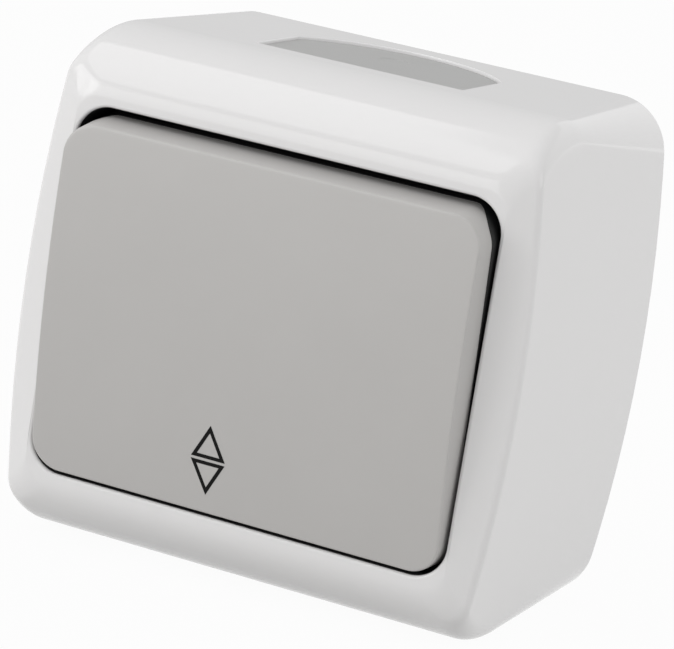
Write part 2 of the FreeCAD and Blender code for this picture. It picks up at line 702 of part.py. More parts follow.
def make_plunger_spring():
    """Coil of half rings, each tilted to climb half a pitch, with eight flats round the wire."""
    wire = size("spring_wire")
    radius = size("spring_radius")
    length = size("plunger_top") - size("spring_seat") - 2 * wire - 2 * size("thread_gap")
    half_turns = round(2 * size("spring_turns"))
    climb = length / half_turns
    arcs = []
    for half in range(half_turns):
        side = 1 if half % 2 == 0 else -1
        start = Vector(side * radius, 0, half * climb)
        middle = Vector(0, side * math.hypot(radius, climb / 2), (half + 0.5) * climb)
        arcs.append(Part.Arc(start, middle, Vector(-side * radius, 0, (half + 1) * climb)).toShape())
    turns = [2 * math.pi * flat / WIRE_FLATS for flat in range(WIRE_FLATS + 1)]
    section = [Vector(radius + wire * math.cos(turn), 0, wire * math.sin(turn)) for turn in turns]
    coil = Part.Wire(arcs).makePipeShell([Part.makePolygon(section)], True, True)
    spring = set_shape("plunger_spring", coil)
    seat = size("spring_seat") + wire + size("thread_gap")
    tilt = FreeCAD.Rotation(ABOUT_X, size("rest_tilt"))
    pivot = FreeCAD.Placement(Vector(0, -size("pivot_depth"), 0), tilt)
    seated = FreeCAD.Placement(Vector(0, seat, 0), FreeCAD.Rotation(ABOUT_X, -90))
    spring.Placement = pivot.multiply(seated)
    PIECES["plunger_spring"] = spring


# See-saw contact on its pin, between the two fixed contacts

LEVER_ARM = (f"({BODY_HEIGHT} / 2 - dim.body_wall - dim.lid_ledge"
             " - dim.tip_radius - dim.tip_side_gap)")


def make_contact_lever():
    bar_depth = ("dim.lever_back", LEVER_FRONT)
    bar_height = f"2 * ({LEVER_ARM} + dim.tip_radius)"
    bar = middle_block("lever_bar", "dim.lever_width", bar_depth, bar_height)
    eye = cross_pin("lever_eye", "dim.eye_radius", "dim.lever_width")
    bore = cross_pin("lever_bore", "dim.lever_pin_radius + dim.lever_pin_gap", "dim.lever_width")
    lever = cut("contact_lever", fuse("lever_blank", bar, eye), bore)
    PIECES["contact_lever"] = at_pivot(lever, LEVER_PIVOT, "-dim.lever_tilt")
    tips = []
    for end, level in ENDS:
        tip_depth = ("dim.lever_back - dim.tip_height", "dim.lever_back")
        tip_z = f"{end} * {LEVER_ARM}"
        tips.append(round_bar(f"moving_tip_{level}", "dim.tip_radius", tip_depth, "0", tip_z))
    pair = fuse("moving_contact_tips", *tips)
    PIECES["moving_contact_tips"] = at_pivot(pair, LEVER_PIVOT, "-dim.lever_tilt")
    pin_width = "dim.lever_width + 2 * dim.cheek_gap + 2 * dim.cheek_thickness"
    PIECES["lever_pin"] = cross_pin("lever_pin", "dim.lever_pin_radius", pin_width, LEVER_PIVOT)


def make_fixed_contacts():
    strip_depth = (BODY_FLOOR, STRIP_FRONT)
    strip_x = ("-dim.strip_width / 2", "dim.strip_width / 2")
    outer = f"{BODY_HEIGHT} / 2 + dim.cage_gap + dim.cage_size"
    closed = (f"{LEVER_PIVOT} + (dim.lever_back - dim.tip_height) * cos(dim.lever_tilt * 1 deg)"
              f" - ({LEVER_ARM} + dim.tip_radius) * sin(dim.lever_tilt * 1 deg)")
    tip_front = f"{closed} - dim.contact_gap"
    tips = []
    for end, level in ENDS:
        strip_z = ordered(end, f"{LEVER_ARM} - dim.strip_width / 2", outer)
        PIECES[f"{level}_contact_strip"] = block(f"{level}_contact_strip", strip_x, strip_depth, strip_z)
        tips.append(round_bar(f"fixed_tip_{level}", "dim.tip_radius", (STRIP_FRONT, tip_front), "0",
                              f"{end} * {LEVER_ARM}"))
    PIECES["fixed_contact_tips"] = fuse("fixed_contact_tips", *tips)

    cheek_in = "dim.lever_width / 2 + dim.cheek_gap"
    cheek_out = f"{cheek_in} + dim.cheek_thickness"
    cheek_z = ("-dim.cheek_height / 2", "dim.cheek_height / 2")
    half = "dim.strip_width / 2"
    foot_x = (f"-({cheek_out})", f"{BODY_WIDTH} / 2 + dim.cage_gap + dim.cage_size")
    parts = [block("common_foot", foot_x, strip_depth, (f"-{half}", half))]
    for side, word in SIDES:
        cheek_x = ordered(side, cheek_in, cheek_out)
        cheek_depth = (BODY_FLOOR, f"{LEVER_PIVOT} + dim.cheek_above_pin")
        parts.append(block(f"cheek_{word}", cheek_x, cheek_depth, cheek_z))
    hole = cross_pin("cheek_holes", "dim.lever_pin_radius", f"2 * ({cheek_out})", LEVER_PIVOT)
    PIECES["common_contact"] = cut("common_contact", fuse("common_blank", *parts), hole)


# Screw terminals at the outer ends of the three strips

def make_terminals():
    reach = "dim.cage_gap + dim.cage_size / 2"
    places = {
        "upper": ("0", f"{BODY_HEIGHT} / 2 + {reach}"),
        "lower": ("0", f"-({BODY_HEIGHT} / 2 + {reach})"),
        "common": (f"{BODY_WIDTH} / 2 + {reach}", "0"),
    }
    back = f"{BODY_FLOOR} - dim.cage_wall"
    front = f"{back} + dim.cage_depth"
    half = "dim.cage_size / 2"
    cages = []
    screws = []
    for word, (x, z) in places.items():
        span_x = (f"{x} - {half}", f"{x} + {half}")
        span_z = (f"{z} - {half}", f"{z} + {half}")
        solid = block(f"cage_{word}", span_x, (back, front), span_z)
        inside = (BODY_FLOOR, f"{front} - dim.cage_wall")
        inner = f"({half} - dim.cage_wall)"
        if word == "common":
            way = block(f"cage_way_{word}", span_x, inside, (f"{z} - {inner}", f"{z} + {inner}"))
        else:
            way = block(f"cage_way_{word}", (f"{x} - {inner}", f"{x} + {inner}"), inside, span_z)
        hole = round_bar(f"cage_hole_{word}", THREAD, (f"{front} - dim.cage_wall", front), x, z)
        cages.append(cut(f"cage_{word}_open", solid, way, hole))
        screws.append(screw(f"terminal_screw_{word}", x, z, front, "dim.terminal_screw_reach"))
    PIECES["terminal_cages"] = fuse("terminal_cages", *cages)
    PIECES["terminal_screws"] = fuse("terminal_screws", *screws)


def make_screws():
    cover_screws = []
    body_screws = []
    for side, word in SIDES:
        x = f"{side} * {COVER_SCREW_X}"
        z = f"{side} * dim.cover_screw_z"
        cover_screws.append(screw(f"cover_screw_{word}", x, z, FLOOR_FRONT, "dim.cover_screw_length"))
        x = f"{side} * ({LUG_X})"
        z = f"{-side} * dim.lug_z"
        body_screws.append(screw(f"body_screw_{word}", x, z, LUG_FRONT, "dim.body_screw_length"))
    PIECES["cover_screws"] = fuse("cover_screws", *cover_screws)
    PIECES["body_screws"] = fuse("body_screws", *body_screws)


make_cover()
make_top_cable_seal()
make_base_box()
make_switch_body()
make_rocker()
make_toggle()
make_plunger()
make_plunger_spring()
make_contact_lever()
make_fixed_contacts()
make_terminals()
make_screws()
doc.recompute()

for obj in doc.Objects:
    if "Invalid" in obj.State or "Error" in obj.State:
        raise RuntimeError(f"{obj.Name} failed: {obj.State}")

os.makedirs("parts", exist_ok=True)
for node, obj in PIECES.items():
    obj.Label = node
    shape = obj.Shape
    if shape.isNull() or not shape.isValid():
        raise RuntimeError(f"{node} has no valid shape")
    shape.exportStep(os.path.join("parts", node + ".step"))
    print(f"{node}: {len(shape.Solids)} solid(s), {shape.Volume:.1f} mm3")
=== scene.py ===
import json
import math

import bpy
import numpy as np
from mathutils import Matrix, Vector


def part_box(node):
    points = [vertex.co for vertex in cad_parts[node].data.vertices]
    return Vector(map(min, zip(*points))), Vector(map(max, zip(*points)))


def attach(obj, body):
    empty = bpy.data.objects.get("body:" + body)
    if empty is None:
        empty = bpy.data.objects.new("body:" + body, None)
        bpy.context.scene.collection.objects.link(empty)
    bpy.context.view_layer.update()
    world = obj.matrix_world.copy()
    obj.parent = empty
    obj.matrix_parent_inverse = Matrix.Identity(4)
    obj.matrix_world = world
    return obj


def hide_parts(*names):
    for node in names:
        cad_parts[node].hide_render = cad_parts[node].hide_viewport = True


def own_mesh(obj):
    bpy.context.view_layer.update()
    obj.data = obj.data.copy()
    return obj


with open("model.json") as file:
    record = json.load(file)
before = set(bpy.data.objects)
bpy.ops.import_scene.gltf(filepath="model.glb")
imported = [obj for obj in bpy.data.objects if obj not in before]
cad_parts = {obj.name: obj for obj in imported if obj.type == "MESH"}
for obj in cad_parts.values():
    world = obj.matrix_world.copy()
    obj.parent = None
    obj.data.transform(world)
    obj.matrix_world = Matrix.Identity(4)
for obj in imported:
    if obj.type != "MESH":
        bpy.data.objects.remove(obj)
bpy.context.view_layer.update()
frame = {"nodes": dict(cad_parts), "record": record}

# %% [markdown]
# # A weatherproof rocker switch, dressed for its portrait
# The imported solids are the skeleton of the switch: each piece is already at its real size and place.
# This lesson puts a finished surface over the pieces that show, gives every other piece the finish of
# its real material, and sets up a small product studio round it. Solids come in metres, and the sizes
# below are written in millimetres, as a mould maker would give them.

MM = 0.001
cover_low, cover_high = (np.array(corner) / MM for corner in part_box("cover"))
cover_width, cover_depth, cover_height = cover_high - cover_low
print(f"cover {cover_width:.1f} wide, {cover_height:.1f} high, {cover_depth:.1f} deep")

# %% [markdown]
# ## From a grid of numbers to a mesh
# Most mouldings can be read as a stack of closed outlines: each outline is one row of a grid, and the
# faces between two rows are plain quads. Such a grid could be drawn with Blender's modelling tools, but
# then the sizes would be lost. Working it out with numpy keeps every size as a named value.

# %% Faces between rows of points
def ring_faces(rows, columns, closed):
    """Quads between neighbouring rows of closed outlines.

    A closed stack also joins its last row to its first.
    """
    row = np.arange(rows if closed else rows - 1)[:, None] * columns
    column = np.arange(columns)[None, :]
    following = (column + 1) % columns
    above = (row + columns) % (rows * columns)
    quads = np.stack([row + column, row + following, above + following, above + column], axis=-1)
    return quads.reshape(-1, 4)


def turn_outward(points, faces):
    """Flip the faces if the volume that they enclose comes out negative, so that they point outwards."""
    volume = 0.0
    for group in faces:
        a, b = points[group[:, 0]], points[group[:, 1]]
        for last in range(2, group.shape[1]):
            volume += np.einsum("ij,ij->", a, np.cross(b, points[group[:, last]]))
            b = points[group[:, last]]
    return faces if volume > 0 else [group[:, ::-1] for group in faces]


def closed_ring(grid):
    """Points and faces of a stack of outlines whose last row joins its first."""
    points = grid.reshape(-1, 3)
    return points, turn_outward(points, [ring_faces(*grid.shape[:2], closed=True)])


# %% From points and faces to an object
SMOOTH_ANGLE = 32


def finish_shading(mesh, smooth_angle):
    """Smooth shading over the whole mesh, with its sharp edges kept sharp."""
    mesh.polygons.foreach_set("use_smooth", np.ones(len(mesh.polygons), dtype=bool))
    mesh.set_sharp_from_angle(angle=math.radians(smooth_angle))
    mesh.update()


def make_object(name, points_mm, faces, smooth_angle=SMOOTH_ANGLE):
    """A mesh object at the origin from points in millimetres.

    It is smooth except at edges that are sharper than the angle, in degrees.
    """
    mesh = bpy.data.meshes.new(name)
    polygons = [polygon for group in faces for polygon in group.tolist()]
    mesh.from_pydata((points_mm * MM).tolist(), [], polygons)
    mesh.validate()
    finish_shading(mesh, smooth_angle)
    piece = bpy.data.objects.new(name, mesh)
    bpy.context.scene.collection.objects.link(piece)
    print(f"{name}: {len(mesh.vertices)} points, {len(mesh.polygons)} faces")
    return piece


# %% [markdown]
# ## One outline for every moulding
# Seen from the front, the cover is a barrel: straight top and bottom, gently arched sides, round
# corners. The recess, the rocker and the aperture are the same figure with straight sides. One function
# can make them all if a straight side is taken as an arch of very large radius, and then every row has
# the same number of points in the same order, which is what the grid needs.

# %% The barrel outline, for many rows at once
STRAIGHT = 1e6
TOP_STEPS = np.array([0.0, 0.2, 0.4, 0.6, 0.8, 0.94, 0.985])
BEND_STEPS = np.linspace(0, 1, 18, endpoint=False)
SIDE_STEPS = np.array([1.0, 0.97, 0.9, 0.72, 0.54, 0.36, 0.18, 0.0])


def outline(half_width, half_height, corner, arch):
    """X and Z of closed outlines, one per row.

    A quarter runs from the middle of the top to the middle of the right side: a straight top, an arc of
    the corner radius, and an arc of the arch radius whose centre lies on the level middle line. The
    corner's centre is where the arch, less the corner radius, meets the level of the corner.
    The quarter is then mirrored downwards and to the left.
    """
    sizes = (half_width, half_height, corner, arch)
    half_width, half_height, corner, arch = (np.asarray(size, float).reshape(-1, 1) for size in sizes)
    arch_x = half_width - arch
    corner_z = half_height - corner
    corner_x = arch_x + np.sqrt((arch - corner) ** 2 - corner_z ** 2)
    touch = np.arctan2(corner_z, corner_x - arch_x)
    bend = np.pi / 2 + (touch - np.pi / 2) * BEND_STEPS
    side = touch * SIDE_STEPS
    x = np.hstack([corner_x * TOP_STEPS, corner_x + corner * np.cos(bend), arch_x + arch * np.cos(side)])
    z = np.hstack([half_height + 0 * TOP_STEPS, corner_z + corner * np.sin(bend), arch * np.sin(side)])
    right_x = np.hstack([x, x[:, -2::-1]])
    right_z = np.hstack([z, -z[:, -2::-1]])
    return np.hstack([right_x, -right_x[:, -2:0:-1]]), np.hstack([right_z, right_z[:, -2:0:-1]])


points_round = outline(1, 1, 0.5, STRAIGHT)[0].size
print(f"{points_round} points in every outline")

# %% [markdown]
# ## The cover
# The cover is one injection moulding: barrel sides that reach the wall with a slight draft, a tight edge
# and a land that slopes up to the recess, a long soft rounding at the top and bottom, and a tub for the
# rocker. It could be a box with bevels, but the edge and the roundings differ in depth and run into each
# other at the corners. Here each row of the grid follows both profiles at once, so the corner blends by
# itself. The rows run from the aperture in the tub's floor, out over the rim and the skin to the wall,
# and back inside.

# %% Sizes of the cover
SIDE_BULGE, RIM_BULGE = 2.6, 0.3
WALL_CORNER, NOSE_CORNER, SMALLEST_CORNER = 7.0, 3.0, 0.8
WALL = 2.0
END_ROUND_DEPTH, END_ROUND_HEIGHT, END_LAND = 13.2, 8.2, 0.9
SIDE_DRAFT, SIDE_EDGE, SIDE_DROP = 0.7, 1.2, 1.55
SIDE_FRAME, SIDE_LAND = 5.8, 0.5
RECESS_CORNER = 4.3
TUB_WALL, TUB_FLOOR = 1.8, 2.0
RIM_ROUND, TUB_ROUND, WALL_EDGE_ROUND = 0.38, 0.4, 0.3
PIVOT_DEPTH, FLOOR_BEHIND_PIVOT = 34.1, 1.6
APERTURE, APERTURE_CORNER = (12.8, 6.8), 0.3

half_width, half_height = cover_width / 2, cover_height / 2
end_start = cover_depth - END_ROUND_DEPTH
recess = (half_width - SIDE_FRAME, half_height - END_ROUND_HEIGHT - END_LAND)
floor_front = PIVOT_DEPTH - FLOOR_BEHIND_PIVOT
floor_back = floor_front - TUB_FLOOR
print(f"recess {2 * recess[0]:.1f} by {2 * recess[1]:.1f}")
print(f"the tub's floor is {cover_depth - floor_front:.1f} below the rim")

# %% The side of the cover seen from above
EDGE_POINTS = 13


def unit(vector):
    """The same direction with a length of one."""
    return vector / np.linalg.norm(vector)


def side_profile(offset):
    """Half widths and depths of the side from the wall to the rim, set in by an offset.

    The drafted side and the sloping land meet in a corner. An arc that touches both takes its place: its
    centre lies on the line that halves the angle, away from the corner by the radius divided by the sine
    of half the angle, and it touches each line at the radius divided by the tangent of half the angle.
    """
    front = cover_depth - offset
    foot = np.array([half_width - offset, 0.0])
    corner = np.array([foot[0] - SIDE_DRAFT, front - SIDE_DROP])
    rim = np.array([half_width - SIDE_FRAME + SIDE_LAND, front])
    to_foot, to_rim = unit(foot - corner), unit(rim - corner)
    half_angle = math.acos(to_foot @ to_rim) / 2
    radius = max(SIDE_EDGE - offset, SMALLEST_CORNER)
    centre = corner + unit(to_foot + to_rim) * radius / math.sin(half_angle)
    touches = corner + np.array([to_foot, to_rim]) * radius / math.tan(half_angle)
    angle = np.linspace(*np.arctan2(*(touches - centre).T[::-1]), EDGE_POINTS)
    arc = centre + radius * np.stack([np.cos(angle), np.sin(angle)], axis=-1)
    return np.vstack([foot, arc, rim])


edge_depths = side_profile(0)[1:-1, 1]
print(f"side edge from {edge_depths[0]:.2f} to {edge_depths[-1]:.2f} deep")


# %% Rows of the skin, each as half width, half height, corner, arch and depth
def columns(half_wide, half_high, corner, arch, depth):
    """Rows of outline sizes with single values spread over all the rows."""
    sizes = np.broadcast_arrays(half_wide, half_high, corner, arch, depth)
    return np.stack(sizes, axis=-1).reshape(-1, len(sizes))


def arch_radius(bulge):
    """Radius of an arch over the cover's height.

    It is half the bulge, plus the half height squared over twice the bulge.
    """
    return bulge / 2 + half_height ** 2 / (2 * bulge)


def skin_rows(offset, depth):
    """Rows of the skin at some depths, set in by an offset.

    The sides follow their profile. The top and bottom draw in by one minus the root of one minus the
    square of the share of the end rounding that lies behind this depth. The corner tightens on the way
    to the rounding, and the sides' arch fades over the land to meet the straight recess.
    """
    front = cover_depth - offset
    profile_x, profile_depth = side_profile(offset).T
    half_wide = np.interp(depth, profile_depth, profile_x)
    share = np.clip((depth - end_start) / (front - end_start), 0, 1)
    end_inset = offset + (END_ROUND_HEIGHT - offset) * (1 - np.sqrt(1 - share ** 2))
    corner = np.interp(depth, [0, end_start], [WALL_CORNER, NOSE_CORNER]) - offset
    bulge = np.interp(depth, [profile_depth[-2], front], [SIDE_BULGE, RIM_BULGE])
    return columns(half_wide, half_height - end_inset, np.maximum(corner, SMALLEST_CORNER),
                   arch_radius(bulge) - (half_width - half_wide), depth)


def rounding_depths(offset, first, last, steps):
    """Depths at even turns of the end rounding, between two depths."""
    reach = cover_depth - offset - end_start
    turns = np.linspace(*np.arcsin((np.array([first, last]) - end_start) / reach), steps)
    return end_start + reach * np.sin(turns)


# %% Rows at the wall and in the recess
def wall_rows(inset, depth):
    """Rows of the outline at the wall, set in evenly."""
    return columns(half_width - inset, half_height - inset, WALL_CORNER - inset,
                   arch_radius(SIDE_BULGE) - inset, depth)


def recess_rows(grow, depth):
    """Rows of the straight-sided recess, grown evenly."""
    return columns(recess[0] + grow, recess[1] + grow, RECESS_CORNER + grow, STRAIGHT, depth)


# %% Depths of the rows, with a row close to each edge that has to stay tight
SUPPORT = 0.05
ROUNDING_POINTS, INNER_POINTS, QUARTER_POINTS = 21, 9, 7
INNER_STOP, INNER_STEP = 1.75 * WALL, WALL / 3

quarter = np.linspace(0, np.pi / 2, QUARTER_POINTS)
skin_depths = np.concatenate([
    [2 * WALL_EDGE_ROUND, end_start / 2, end_start - SUPPORT],
    rounding_depths(0, end_start, edge_depths[0], ROUNDING_POINTS)[:-1],
    edge_depths,
    rounding_depths(0, edge_depths[-1], cover_depth, ROUNDING_POINTS)[1:],
])
inner_depths = np.concatenate([
    [0, end_start / 2, end_start - SUPPORT],
    rounding_depths(WALL, end_start, cover_depth - INNER_STOP, INNER_POINTS),
])
print(f"{len(skin_depths)} rows outside, {len(inner_depths)} inside")

# %% All the rows, from the aperture over the skin and back inside
rising, falling = 1 - np.sin(quarter), 1 - np.cos(quarter)
aperture_front = columns(*APERTURE, APERTURE_CORNER, STRAIGHT, floor_front)
tub_round = recess_rows(-TUB_ROUND * rising, floor_front + TUB_ROUND * falling)
rim_round = recess_rows(RIM_ROUND * falling, cover_depth - RIM_ROUND * rising)
rim_support = recess_rows(RIM_ROUND + SUPPORT, cover_depth)
skin = skin_rows(0, skin_depths[::-1])
wall_edge = wall_rows(WALL_EDGE_ROUND * falling, WALL_EDGE_ROUND * rising)
inside = skin_rows(WALL, inner_depths)
tub_outside = recess_rows(TUB_WALL, np.array([inner_depths[-1] + INNER_STEP, floor_back]))
aperture_back = columns(*APERTURE, APERTURE_CORNER, STRAIGHT, floor_back)
cover_rows = np.vstack([aperture_front, tub_round, rim_round, rim_support, skin, wall_edge, inside,
                        tub_outside, aperture_back])
print(f"cover grid: {len(cover_rows)} rows")


# %% The cover's mesh
def stack(rows):
    """Points of a stack of outlines as rows by columns by three, with the front towards -Y."""
    x, z = outline(*rows[:, :4].T)
    return np.stack([x, np.broadcast_to(-rows[:, 4:5], x.shape), z], axis=-1)


cover = make_object("moulded_cover", *closed_ring(stack(cover_rows)))

# %% [markdown]
# ## The cable window and the screw holes
# A window in the top takes the grey cable seal, and two holes in the tub's floor take the cover's
# screws. They could be left out of the grid by hand, but openings that cross its rows are simpler to
# cut. The cutter's upper edge flares out by a quarter round, so the window's lip is softly rounded as on
# a moulding.

# %% The window's outline
WINDOW_HALF = 13.95
WINDOW_FRONT, WINDOW_ENDS, WINDOW_BACK = 24.1, 11.9, 4.2
WINDOW_STEPS, WINDOW_ARC_STEPS = (16, 40, 16), 64


def window_outline(grow):
    """X and depth of the window: straight ends and front, and an arc through three points at the back.

    The arc's radius is half the width squared plus the rise squared, over twice the rise.
    """
    half, front, back = WINDOW_HALF + grow, WINDOW_FRONT + grow, WINDOW_BACK - grow
    rise = WINDOW_ENDS - back
    radius = (half ** 2 + rise ** 2) / (2 * rise)
    reach = math.asin(half / radius)
    angle = np.linspace(-reach, reach, WINDOW_ARC_STEPS, endpoint=False)
    corners = np.array([[half, WINDOW_ENDS], [half, front], [-half, front], [-half, WINDOW_ENDS]])
    straight = [np.linspace(*corners[i:i + 2], steps, endpoint=False)
                for i, steps in enumerate(WINDOW_STEPS)]
    arc = np.stack([radius * np.sin(angle), back + radius * (1 - np.cos(angle))], axis=-1)
    return np.vstack([*straight, arc]).T


def level_row(x, depth, height):
    """Points of one outline at a height."""
    return np.stack([x, -depth, np.full_like(x, height)], axis=-1)


# %% Stacks that are closed at both ends
def pole_faces(ring, pole, reverse):
    """Triangles from one ring of point numbers to a single point that closes it."""
    following = np.roll(ring, -1)
    tips = np.full_like(ring, pole)
    order = (following, ring, tips) if reverse else (ring, following, tips)
    return np.stack(order, axis=-1)


def closed_stack(grid):
    """Points and faces of a stack of outlines, closed at both ends by a point in the middle of each."""
    rows, around = grid.shape[:2]
    poles = grid[[0, -1]].mean(axis=1)
    points = np.vstack([grid.reshape(-1, 3), poles])
    first = np.arange(around)
    last = first + (rows - 1) * around
    faces = [
        ring_faces(rows, around, closed=False),
        pole_faces(first, rows * around, reverse=True),
        pole_faces(last, rows * around + 1, reverse=False),
    ]
    return points, turn_outward(points, faces)


def joined(shells):
    """Several closed shells as one list of points and one list of faces."""
    points, faces, start = [], [], 0
    for shell_points, shell_faces in shells:
        points.append(shell_points)
        faces += [group + start for group in shell_faces]
        start += len(shell_points)
    return np.vstack(points), faces


# %% The cutter
WINDOW_LIP, LIP_ABOVE, LIP_POINTS = 0.22, 0.02, 9
HOLE_RADIUS, HOLE_POINTS, HOLE_REACH = 1.7, 48, 1.0
HOLE_X, HOLE_Z = 22.5, 9.0


def window_cutter():
    """Stack of window outlines whose upper rows grow by a quarter circle towards the top face."""
    turn = np.linspace(0, np.pi / 2, LIP_POINTS)
    lip = half_height + LIP_ABOVE - WINDOW_LIP * (1 - np.sin(turn))
    heights = np.concatenate([[half_height - 2 * WALL], lip, [half_height + WALL]])
    grows = np.concatenate([[0], WINDOW_LIP * (1 - np.cos(turn)), [WINDOW_LIP]])
    rows = [level_row(*window_outline(grow), height) for grow, height in zip(grows, heights)]
    return closed_stack(np.array(rows))


def hole_cutter(x, z):
    """Round bar through the tub's floor."""
    angle = np.linspace(0, 2 * np.pi, HOLE_POINTS, endpoint=False)
    ring_x, ring_z = x + HOLE_RADIUS * np.cos(angle), z + HOLE_RADIUS * np.sin(angle)
    ends = (floor_back - HOLE_REACH, floor_front + HOLE_REACH)
    rows = [np.stack([ring_x, np.full_like(angle, -depth), ring_z], axis=-1) for depth in ends]
    return closed_stack(np.array(rows))


hole_cutters = [hole_cutter(HOLE_X, HOLE_Z), hole_cutter(-HOLE_X, -HOLE_Z)]
cutter = make_object("cover_cutter", *joined([window_cutter(), *hole_cutters]))


# %% The cut
def applied(piece):
    """The mesh of a piece with its modifiers worked in, which are then taken off."""
    evaluated = piece.evaluated_get(bpy.context.evaluated_depsgraph_get())
    mesh = bpy.data.meshes.new_from_object(evaluated)
    piece.modifiers.clear()
    return mesh


cut = cover.modifiers.new("openings", "BOOLEAN")
cut.operation = "DIFFERENCE"
cut.solver = "EXACT"
cut.object = cutter
cover.data = applied(cover)
finish_shading(cover.data, SMOOTH_ANGLE)
even = cover.modifiers.new("even_shading", "WEIGHTED_NORMAL")
even.keep_sharp = True
cover.data = applied(cover)
bpy.data.objects.remove(cutter)
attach(cover, "housing")
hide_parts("cover")
print(f"cover after the cut: {len(cover.data.polygons)} faces")

# %% [markdown]
# ## The cable seal
# A soft grey seal fills the window. Its flange lies under the wall, and a round mark shows where a cable
# may be pushed through. A flat plate with a disc on it would show a seam. Here the rows climb from the
# flange to the face, turn from the window's outline into a circle, and dip into a shallow dish at the
# mark.

# %% Rows from the flange to the round mark
SEAL_GAP, SEAL_SUNK = 0.05, 0.4
SEAL_EDGE, SEAL_EDGE_POINTS = 0.2, 5
FLANGE, FLANGE_THICKNESS = 1.4, 1.2
MARK_X, MARK_DEPTH = -0.6, 12.0
MARK_RADIUS, MARK_SUNK = 1.9, 0.1
# Shares of the way from the window's edge to the mark, then shares of the mark's radius and depth.
FACE_SHARES = (0.0, 0.3, 0.6, 0.8)
DISH_SHARES = ((1.04, 0.0), (1.0, 0.1), (0.97, 0.8), (0.93, 1.0), (0.5, 1.0), (0.1, 1.0))


def seal_rows():
    """Outlines of the flange, the plug with its rounded edge, and the face down to the mark.

    On the face, the reach from the middle of the mark passes evenly from that of the window's outline to
    the mark's radius.
    """
    face, under_wall = half_height - SEAL_SUNK, half_height - WALL
    flange = window_outline(FLANGE)
    rows = [level_row(*flange, height) for height in (under_wall - FLANGE_THICKNESS, under_wall)]
    rows.append(level_row(*window_outline(-SEAL_GAP), under_wall))
    for turn in np.linspace(0, np.pi / 2, SEAL_EDGE_POINTS):
        edge = window_outline(-SEAL_GAP - SEAL_EDGE * (1 - math.cos(turn)))
        rows.append(level_row(*edge, face - SEAL_EDGE * (1 - math.sin(turn))))
    x, depth = window_outline(-SEAL_GAP - 2 * SEAL_EDGE)
    angle = np.arctan2(depth - MARK_DEPTH, x - MARK_X)
    edge_reach = np.hypot(x - MARK_X, depth - MARK_DEPTH)
    rings = [((1 - share) * edge_reach + share * MARK_RADIUS, face) for share in FACE_SHARES]
    rings += [(share * MARK_RADIUS, face - sunk * MARK_SUNK) for share, sunk in DISH_SHARES]
    for reach, height in rings:
        rows.append(level_row(MARK_X + reach * np.cos(angle), MARK_DEPTH + reach * np.sin(angle), height))
    return np.array(rows)


seal = make_object("cable_seal", *closed_stack(seal_rows()))
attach(seal, "housing")
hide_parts("top_cable_seal")

# %% [markdown]
# ## Painted shade in the tub
# Deep in the gap round the rocker the tub lies in shade, so nothing white shows there. A thin black sheet
# on the tub's wall and the edge of its floor paints that shade in. Painting the wall would need a second
# finish on the cover, so the sheet is a piece of its own: a closed ring whose section is a thin L set
# into the wall.

# %% A closed ring with a thin L for its section
LINING_PROUD, LINING_SET_IN = 0.05, 0.1
LINING_BELOW_RIM, LINING_ON_FLOOR = 0.42, 2.8

lining_top = cover_depth - LINING_BELOW_RIM
lining_back, lining_front = floor_front - LINING_SET_IN, floor_front + LINING_PROUD
lining_rows = np.vstack([
    recess_rows(-LINING_ON_FLOOR, np.array([lining_back, lining_front])),
    recess_rows(-LINING_PROUD - TUB_ROUND * rising, lining_front + TUB_ROUND * falling),
    recess_rows(-LINING_PROUD, lining_top),
    recess_rows(LINING_SET_IN, np.array([lining_top, lining_back])),
])
# A black sheet that paints the shade deep in the tub's gap.
shade_lining = make_object("painted_shade_lining", *closed_ring(stack(lining_rows)))
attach(shade_lining, "housing")

# %% [markdown]
# ## The rocker
# The rocker is a thin-walled button: a face that is slightly crowned from top to bottom, a soft edge, a
# skirt that flares a little and dips into the tub, and ribs and clips underneath that hold it on the
# toggle. It could be one bevelled box, but the crown is what its broad sheen comes from. The rows are
# rings of the outline, first shrunk towards the middle of the face, then down the edge and skirt, and
# back under the roof.

# %% The crown and the tilt, about the rocker's own pivot
ROCKER_HALF, ROCKER_CORNER = (27.6, 21.95), 3.9
ROCKER_FACE, CROWN_RADIUS = 9.7, 170.0
REST_TILT = math.radians(4.5)


def crown(z):
    """Height of the face in front of the pivot: a circle of the crown's radius, highest in the middle."""
    return ROCKER_FACE - CROWN_RADIUS + np.sqrt(CROWN_RADIUS ** 2 - z ** 2)


def tilted(points):
    """Turn points of x, height and z about the pivot by the resting tilt, and set the pivot at its depth.

    Height counts towards -Y, so this mirrors a shell, and faces are turned outwards after it.
    """
    x, height, z = np.moveaxis(points, -1, 0)
    depth = PIVOT_DEPTH + z * math.sin(REST_TILT) + height * math.cos(REST_TILT)
    return np.stack([x, -depth, z * math.cos(REST_TILT) - height * math.sin(REST_TILT)], axis=-1)


print(f"the crown falls by {crown(0) - crown(ROCKER_HALF[1]):.1f} towards the top and bottom")

# %% The rocker's shell
ROCKER_SKIN = 1.8
ROCKER_EDGE, ROCKER_EDGE_POINTS = 0.28, 9
SKIRT_END, SKIRT_BEND, SKIRT_FLARE, FLARE_START = 0.8, 5.0, 0.25, 0.05
FACE_RINGS = (0.03, 0.12, 0.25, 0.4, 0.55, 0.7, 0.82, 0.91, 0.96, 0.985)
ROOF_RINGS = (0.96, 0.8, 0.5, 0.2, 0.03)


def rocker_rings(inset, shrink=1.0):
    """X and Z of the rocker's outline, set in evenly and then shrunk about the middle."""
    wide, high = (half - np.asarray(inset, float) for half in ROCKER_HALF)
    x, z = outline(wide, high, ROCKER_CORNER - inset, np.full_like(wide, STRAIGHT))
    shrink = np.asarray(shrink, float).reshape(-1, 1)
    return x * shrink, z * shrink


